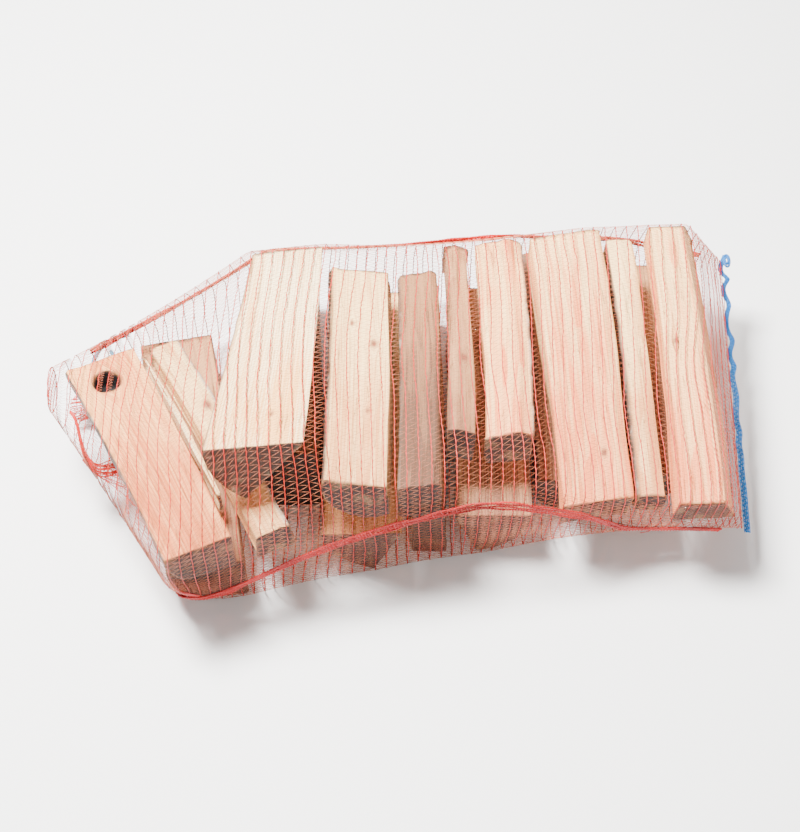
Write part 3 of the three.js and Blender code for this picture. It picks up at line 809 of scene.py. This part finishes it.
def net_surface():
    """The net's surface as rings of points at even places along X, with the way it faces."""
    stations = np.linspace(frame_x(OPEN_END_X), frame_x(SEWN_END_X), SURFACE_RINGS)
    pitch = stations[1] - stations[0]
    angles = 2 * np.pi * np.arange(RING_DIRECTIONS) / RING_DIRECTIONS - np.pi / 2
    facing = np.stack([np.cos(angles), np.sin(angles)])
    cloud = pile_cloud()
    cloud = cloud[np.argsort(cloud[:, 0])]
    heights = cloud[:, 1:] @ facing
    reach = np.full((SURFACE_RINGS, RING_DIRECTIONS), -1e9)
    for i, x in enumerate(stations):
        first, last = np.searchsorted(cloud[:, 0], (x - pitch, x + pitch))
        if last > first:
            reach[i] = heights[first:last].max(axis=0)
    open_centre, sewn, middle = (
        np.array(place) + (FRAME_SHIFT[1], 0) for place in (OPEN_END_CENTRE, SEWN_END, RING_MIDDLE)
    )
    reach[0] = open_centre @ facing + OPEN_END_RADIUS
    reach[-1] = (sewn @ facing).max(axis=0)
    for k in range(RING_DIRECTIONS):
        reach[:, k] = taut_profile(stations, reach[:, k], NET_SLACK)
    reach += NET_OFFSET
    from_open = np.clip((stations - stations[0]) / 35, 0, 1)[:, None]
    from_sewn = np.clip((stations[-1] - stations) / 42, 0, 1)[:, None]
    centre = open_centre + (middle - open_centre) * from_open
    centre = sewn.mean(axis=0) + (centre - sewn.mean(axis=0)) * from_sewn
    relative = reach - centre @ facing
    turns = 2 * np.pi * np.arange(RING_ANGLES) / RING_ANGLES - np.pi / 2
    lean = np.cos(turns[:, None] - angles[None, :])
    rings = []
    for i in range(SURFACE_RINGS):
        away = np.where(lean > 0.03, relative[i][None, :] / np.maximum(lean, 0.03), 1e9).min(axis=1)
        outline = centre[i] + away[:, None] * np.stack([np.cos(turns), np.sin(turns)], axis=1)
        closed = np.vstack([outline, outline[:1]])
        travelled = distances(closed)
        wanted = np.linspace(0, travelled[-1], RING_STITCHES, endpoint=False)
        ring = at_distances(wanted, travelled, closed)
        rings.append(np.column_stack([np.full(RING_STITCHES, stations[i]), ring]))
    rings = np.array(rings)
    around = np.roll(rings, -1, axis=1) - np.roll(rings, 1, axis=1)
    normals = unit(np.cross(around, np.gradient(rings, axis=0)))
    outward = rings - np.column_stack([stations, centre])[:, None, :]
    return rings, normals * np.sign(np.sum(normals * outward))


def surface_step(places):
    """Places along X, counted in rings of the net's surface."""
    return (places - surface_x[0]) / (surface_x[1] - surface_x[0])


def sampled(surface, places):
    """Points of the net, or the way it faces, at a place along X for each stitch of a ring."""
    step = np.clip(surface_step(places), 0, len(surface) - 1.001)
    before = step.astype(int)
    share = (step - before)[..., None]
    stitch = np.arange(places.shape[1])
    return surface[before, stitch] * (1 - share) + surface[before + 1, stitch] * share


def chain_places(rings):
    """Where along X each chain lies at each stitch: closer near the sewn end, and pulled to and
    fro by the logs."""
    first, last = surface_x[0], surface_x[-1]
    centres = [first]
    while centres[-1] < last - 3:
        near_seam = np.clip((centres[-1] - (last - 62)) / 45, 0, 1)
        centres.append(centres[-1] + CHAIN_PITCH - SEAM_CROWDING * near_seam)
    centres[-1] = last
    even = np.repeat(np.array(centres)[:, None], RING_STITCHES, axis=1)
    at = sampled(rings, even).reshape(-1, 3)
    pull = lattice_noise(at / (95, 120, 120), 11) * 8 + lattice_noise(at / (40, 50, 50), 12) * 2.4
    fade = np.clip((even - first) / 40, 0, 1) * np.clip((last - even) / 40, 0, 1)
    return np.clip(even + pull.reshape(even.shape) * fade, first, last)


def frame_x(x):
    """A place along X given before the bag was centred, in its frame."""
    return x + FRAME_SHIFT[0]


def build_net(rings, normals):
    """The chains round the bag and the zigzag weft between them."""
    places = chain_places(rings)
    chains = sampled(rings, places)
    facing = sampled(normals, places)
    halfway = (places[1:] + places[:-1]) / 2
    between = sampled(rings, halfway)
    between_facing = sampled(normals, halfway)
    threads = chains.copy()
    threads[..., 2] = np.maximum(threads[..., 2], CHAIN_FLOOR_GAP)
    threads[..., 0] += 0.5 * lattice_noise(threads.reshape(-1, 3) / 4, 5).reshape(places.shape)
    uneven = lattice_noise(threads.reshape(-1, 3) / 6, 6).reshape(places.shape)
    thick_and_thin = 1 + 0.28 * np.cos(np.arange(RING_STITCHES) * math.pi)
    thickness = CHAIN_RADIUS * thick_and_thin * (1 + 0.2 * uneven)
    red = thread_finish("red chain thread", RED_CHAIN, 0.92)
    chain_tubes = tubes(threads, facing, thickness, 3, closed=True, flat=0.7)
    pieces = [put_mesh("net_chains", *chain_tubes, red)]
    pink = thread_finish("pink weft thread", PINK_WEFT, 0.46)
    gaps = len(between)
    stitch = np.arange(RING_STITCHES)
    anchor = np.arange(gaps)[:, None] + stitch % 2
    wefts = np.empty((gaps, 2 * RING_STITCHES, 3))
    facings = np.empty((gaps, 2 * RING_STITCHES, 3))
    wefts[:, 0::2] = chains[anchor, stitch]
    facings[:, 0::2] = facing[anchor, stitch]
    wefts[:, 1::2] = (between + np.roll(between, -1, axis=1)) / 2
    facings[:, 1::2] = between_facing
    wefts[..., 2] = np.maximum(wefts[..., 2], WEFT_FLOOR_GAP)
    girths = np.linalg.norm(np.diff(between, axis=1), axis=2).sum(axis=1)
    skips = np.clip(np.round(WEFT_SPACING * RING_STITCHES / girths), 1, 6).astype(int)
    thirds = np.minimum(np.arange(gaps) // (gaps // 3), 2)
    for third, place in enumerate(("open", "middle", "sewn")):
        groups = []
        for skip in np.unique(skips[thirds == third]):
            chosen = (thirds == third) & (skips == skip)
            lines, outs = thinned(wefts[chosen], facings[chosen], skip)
            groups.append(tubes(lines, outs, WEFT_RADIUS, 3, closed=True))
        pieces.append(joined(f"net_weft_{place}_third", groups, pink))
    pieces.append(build_tip(chains[0], red))
    for piece in pieces:
        rides(piece, "net_bag")


def thinned(lines, facings, skip):
    """Zigzag lines with only every so many of their stitches."""
    count = lines.shape[1] // 2
    tops = np.arange(0, count, skip)
    keep = np.stack([2 * tops, (2 * tops + skip - 1 + skip % 2) % (2 * count)], axis=1).ravel()
    return lines[:, keep], facings[:, keep]


def build_tip(ring, material):
    """The plain net over the bag's tip, where it is drawn round a log's corner."""
    tip = ring.mean(axis=0)
    radius = np.linalg.norm(ring[:, 1:] - tip[1:], axis=1).min()
    out = np.array((-1.0, 0.0, 0.0))
    height = np.array(TIP_CHAINS)[:, None]
    half = np.sqrt(np.maximum(radius**2 - height**2, 1))
    y = half * np.linspace(-1, 1, TIP_POINTS)
    bulge = 1.4 * (1 - (y**2 + height**2) / radius**2)
    wander = 0.6 * np.sin(y / 3 + height)
    chains = np.stack([-bulge, y, height + wander], axis=2) + tip
    parts = [tubes(chains, np.broadcast_to(out, chains.shape), CHAIN_RADIUS, 3, False)]
    even = (np.arange(TIP_POINTS) % 2 == 0)[:, None]
    zigzags = np.where(even, chains[:-1], chains[1:])
    parts.append(tubes(zigzags, np.broadcast_to(out, zigzags.shape), WEFT_RADIUS, 3, False))
    return joined("net_tip", parts, material)


def in_frame(points):
    """Points given before the bag was centred, in its frame."""
    return np.asarray(points, dtype=float) + (*FRAME_SHIFT, 0.0)


def smooth_line(points, count):
    """Evenly spaced points on a smooth curve through a few points."""
    points = np.asarray(points, dtype=float)
    padded = np.vstack([2 * points[0] - points[1], points, 2 * points[-1] - points[-2]])
    fine = []
    for a, b, c, d in zip(padded[:-3], padded[1:-2], padded[2:-1], padded[3:]):
        for t in np.linspace(0, 1, 24, endpoint=False):
            curve = 2 * b + (c - a) * t
            curve = curve + (2 * a - 5 * b + 4 * c - d) * t**2 + (3 * b - a - 3 * c + d) * t**3
            fine.append(0.5 * curve)
    fine.append(points[-1])
    fine = np.array(fine)
    travelled = distances(fine)
    return at_distances(np.linspace(0, travelled[-1], count), travelled, fine)


def build_tails():
    """The two free ends of the drawstring, flat tape that lies on the floor."""
    teal = thread_finish("teal tape", TEAL_TAPE, 1.0, 0.45, 1400.0)
    for node, route in TAIL_ROUTES.items():
        line = smooth_line(in_frame(route), 40)
        up = np.broadcast_to((0, 0.3, 1), (1, len(line), 3))
        tube = tubes(line[None], up, TAPE_RADIUS, 8, False, flat=0.8)
        tail = put_mesh(node + "_tape", *tube, teal)
        rides(tail, node)
    return teal


def neck_frame():
    """The neck's own directions, outwards, sideways and up, and its length."""
    along = unit(NECK_LIP - NECK_ROOT)
    across = unit(np.cross((0, 0, 1), along))
    return along, across, np.cross(along, across), np.linalg.norm(NECK_LIP - NECK_ROOT)


def build_neck(red):
    """The mouth of the bag, gathered into a neck of bunched threads."""
    along, across, up, reach = neck_frame()
    share = np.linspace(0, 1, 18)
    radius = np.interp(share, (0, 0.35, NECK_TIE_SHARE, 0.8, 1), (20.5, 14.5, 7.6, 10, 12.6))
    k = np.arange(NECK_STRANDS)[:, None]
    angle = 2 * math.pi * k / NECK_STRANDS
    frill = 1 + 0.12 * np.sin(share * 9 + k * 2.4) - 0.16 * (k % 3 == 0)
    out = across * np.cos(angle) + up * np.sin(angle)
    outs = np.repeat(out[:, None], len(share), axis=1)
    middle = in_frame(NECK_ROOT) + along * (share * reach)[:, None]
    lines = middle + outs * (radius * np.minimum(frill, 1.04))[..., None]
    strands = tubes(lines, outs, CHAIN_RADIUS, 3, False)
    hoops = tubes(np.swapaxes(lines, 0, 1), np.swapaxes(outs, 0, 1), WEFT_RADIUS * 1.4, 3, True)
    rides(joined("net_neck", [strands, hoops], red), "net_bag")


def build_tie(teal):
    """The drawstring's turns round the neck and its knot."""
    along, across, up, reach = neck_frame()
    tie = in_frame(NECK_ROOT) + along * reach * NECK_TIE_SHARE
    angles = np.linspace(0, 2 * math.pi, 64, endpoint=False)
    radius = NECK_TIE_RADIUS + 0.3 + TAPE_RADIUS
    out = across * np.cos(angles)[:, None] + up * np.sin(angles)[:, None]
    turns = []
    for offset, phase in ((-0.75, 0.0), (0.75, 2.1)):
        slip = (offset + 0.3 * np.sin(angles + phase))[:, None]
        line = tie + out * radius + along * slip
        turns.append(tubes(line[None], out[None], TURN_TAPE_RADIUS, 8, True))
    rides(joined("drawstring_turn_tape", turns, teal), "drawstring_turn")

    low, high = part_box("drawstring_knot")
    centre = np.array(low + high) / 2 / MM
    half = np.array(high - low) / 2 / MM - KNOT_TAPE_RADIUS
    t = np.linspace(0, 2 * math.pi, 72, endpoint=False)
    trefoil = np.column_stack(
        [np.sin(t) + 2 * np.sin(2 * t), np.cos(t) - 2 * np.cos(2 * t), -1.6 * np.sin(3 * t)]
    )
    outward = trefoil / np.abs(trefoil).max(axis=0) * half
    knot = tubes((centre + outward)[None], outward[None], KNOT_TAPE_RADIUS, 8, True)
    rides(put_mesh("drawstring_knot_tape", *knot, teal), "drawstring_knot")


def net_edge(rings, normals, side, heights):
    """Where a height above the floor meets the near (-1) or far (1) side of the net."""
    edge = smooth_line(np.array(heights) + (FRAME_SHIFT[0], 0), 200)
    line = []
    faces = []
    for ring, normal in zip(rings, normals):
        x = ring[0, 0]
        if not edge[0, 0] <= x <= edge[-1, 0]:
            continue
        above = ring[:, 2] - np.interp(x, *edge.T)
        after = np.roll(above, -1)
        outward = normal[:, 1] * side
        crossing = np.where((above * after <= 0) & (outward > -0.2))[0]
        if not len(crossing):
            continue
        k = crossing[np.argmax(ring[crossing, 1] * side)]
        share = above[k] / (above[k] - after[k] + 1e-9)
        line.append(ring[k] + (ring[(k + 1) % len(ring)] - ring[k]) * share)
        faces.append(normal[k])
    return np.array(line), np.array(faces)


def build_selvedge(rings, normals, side, heights, node, red):
    """A doubled edge: rails of looped thread joined by rungs, with a loose end or two."""
    line, faces = net_edge(rings, normals, side, heights)
    travelled = distances(line)
    count = int(travelled[-1] / SELVEDGE_STEP)
    wanted = np.linspace(0, travelled[-1], count)
    path = at_distances(wanted, travelled, line)
    face = at_distances(wanted, travelled, faces)
    smooth(path, 6)
    smooth(face, 6)
    face = unit(face)
    tangent = unit(np.gradient(path, axis=0))
    across = np.cross(face, tangent)
    path = path + face * 2.0
    parts = []
    half = SELVEDGE_HALF_WIDTH * (1 + 0.2 * np.sin(wanted / 27) + 0.12 * np.sin(wanted / 9))
    for edge in SELVEDGE_RAILS:
        wander = 0.7 * np.sin(wanted / 5.3 + 4 * edge) + 0.5 * np.sin(wanted / 13 + edge)
        rail = path + across * (edge * half + wander)[:, None]
        for phase in (0.0, math.pi):
            twist = wanted * 1.15 + phase
            strand = rail + 0.65 * (across * np.cos(twist)[:, None] + face * np.sin(twist)[:, None])
            parts.append(tubes(strand[None], face[None], 0.6, 4, False))
    places = np.arange(RUNG_PITCH / 2, travelled[-1], RUNG_PITCH)
    at = (places / travelled[-1] * (count - 1)).astype(int)
    reach = np.linspace(-1.25, 1.25, RUNG_POINTS)[:, None]
    lean = 0.9 * np.sin(places * 3.1)[:, None, None] * reach
    rungs = path[at, None] + (across * half[:, None])[at, None] * reach + tangent[at, None] * lean
    rungs += face[at, None] * 0.35 * (1 - abs(reach))
    parts.append(tubes(rungs, np.repeat(face[at, None], RUNG_POINTS, axis=1), 0.5, 4, False))
    for place, length, curl in LOOSE_ENDS.get(node, ()):
        i = int(np.argmin(np.abs(path[:, 0] - frame_x(place))))
        t = np.linspace(0, 1, LOOSE_END_POINTS)[:, None]
        end = path[i] + face[i] * (0.6 + 1.2 * t) - across[i] * length * t
        end = end + tangent[i] * curl * np.sin(t * 3.4)
        end_face = np.broadcast_to(face[i], end.shape)
        parts.append(tubes(end[None], end_face[None], 0.32, 4, False))
    rides(joined(node + "_threads", parts, red), node)


def build_folds(rings, normals, red):
    """The slack of the net, drawn into folds along the front of the open end."""
    start, finish = frame_x(FOLD_START), frame_x(FOLD_END)
    line, _ = net_edge(rings, normals, -1, FRONT_SELVEDGE)
    xs = np.linspace(start, finish, FOLD_POINTS)
    heights = np.interp(xs, line[:, 0], line[:, 2])
    share = (xs - start) / (finish - start)
    spread = np.sin(np.pi * share) ** 0.8
    stations = np.clip(surface_step(xs), 0, len(rings) - 2).astype(int)
    nearest = []
    for ring, height in zip(rings[stations], heights):
        near_side = np.where(ring[:, 1] < np.median(ring[:, 1]))[0]
        nearest.append(near_side[np.argmin(np.abs(ring[near_side, 2] - height))])
    k = np.arange(FOLD_STRANDS)[:, None]
    drift = 2.6 * np.sin(k * 1.9 + share * 7.0)
    below = (k * 1.5 + 0.5 + drift) * (0.25 + spread)
    stitch = np.round(nearest - below).astype(int) % RING_STITCHES
    lift = 0.9 + 1.3 * (0.5 + 0.5 * np.sin(k * 2.7 + share * 9.0)) * spread
    facings = normals[stations, stitch]
    strands = rings[stations, stitch] + facings * lift[..., None]
    strands[..., 0] = xs
    strands[..., 2] = np.maximum(strands[..., 2], CHAIN_FLOOR_GAP)
    smooth(np.swapaxes(strands, 0, 1), 8)
    ladders = (np.swapaxes(rows, 0, 1)[1:-1] for rows in (strands, facings))
    parts = [tubes(strands, facings, 0.5, 4, False), tubes(*ladders, 0.24, 3, False)]
    rides(joined("net_folds", parts, red), "net_bag")


def build_seam():
    """The blue overlock seam: a wavy cord of thread wrapped over the net's sewn edge."""
    blue = thread_finish("blue thread", BLUE_THREAD, 1.0, 0.55, 1200.0)
    share = np.linspace(0, 1, 260)
    turn = 2 * math.pi * SEAM_WAVES * share
    width = np.interp(share, (0, 0.5, 0.75, 1), (1.0, 1.0, 0.72, 0.86))
    sway = SEAM_SWAY * np.sin(turn + 0.9 * np.sin(turn * 0.37)) * share**1.4
    lift = SEAM_LIFT * np.cos(turn) * share
    y, z = (near + (far - near) * share for near, far in zip(SEAM_NEAR, SEAM_FAR))
    line = in_frame(np.column_stack([SEAM_X - 1.6 * share + sway, y, z + lift]))
    face = np.broadcast_to((0, 0, 1), line.shape)
    parts = []
    for offset, radius in SEAM_CORDS:
        cord = line + np.outer(width * offset, (1, 0, 0))
        parts.append(tubes(cord[None], face[None], radius, 5, False))
    tangent = unit(np.gradient(line, axis=0))
    angles = np.linspace(0, 2 * math.pi, SEAM_LOOP_POINTS, endpoint=False)
    wide = np.cos(angles)
    round_loop = np.stack([wide, np.zeros_like(wide), np.sin(angles)], axis=1)
    loops = []
    for k in range(SEAM_STITCHES):
        i = int((k + 0.5) / SEAM_STITCHES * (len(line) - 1))
        reach = width[i] * (2.75 + 0.3 * math.sin(k * 2.3))
        lean = 1.1 * (1 if k % 2 else -1)
        loops.append(line[i] + round_loop * (reach, 0, 0.95) + np.outer(wide, tangent[i]) * lean)
    loops = np.array(loops)
    parts.append(tubes(loops, np.broadcast_to(round_loop, loops.shape), 0.42, 4, True))
    turn = np.linspace(0, 2 * math.pi, LOBE_POINTS, endpoint=False)
    outline = np.column_stack([3.0 * np.cos(turn), 7.0 * np.sin(turn), 0.5 * np.sin(2 * turn)])
    for size, height in ((1.0, 0.0), (0.55, 0.5)):
        lobe = line[-1] + (0.4, -8.0, 1.2 + height) + outline * (size, size, 1)
        parts.append(tubes(lobe[None], face[None, :LOBE_POINTS], 1.15, 6, True))
    rides(joined("blue_seam_threads", parts, blue), "blue_seam")


# How far the bag was moved when it was centred, from two nodes whose places before are known
tie_low, tie_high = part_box("drawstring_turn")
tie_y = (NECK_ROOT + (NECK_LIP - NECK_ROOT) * NECK_TIE_SHARE)[1]
FRAME_SHIFT = (
    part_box("net_bag")[0].x / MM - OPEN_END_X,
    (tie_low.y + tie_high.y) / 2 / MM - tie_y,
)

camera_and_light()
teal_finish = build_tails()
for number, log_name in enumerate(LOGS):
    build_log(log_name, number)
net_rings, net_normals = net_surface()
surface_x = net_rings[:, 0, 0]  # where along X each ring of the net's surface lies
build_net(net_rings, net_normals)
# The selvedge, neck and fold thread carries painted shade in its deeper red
red_finish = thread_finish("red selvedge thread with painted shade", RED_SELVEDGE_WITH_PAINTED_SHADE, 1.0, 0.45)
build_neck(red_finish)
build_tie(teal_finish)
build_selvedge(net_rings, net_normals, -1, FRONT_SELVEDGE, "selvedge_front", red_finish)
build_selvedge(net_rings, net_normals, 1, BACK_SELVEDGE, "selvedge_back", red_finish)
build_folds(net_rings, net_normals, red_finish)
build_seam()
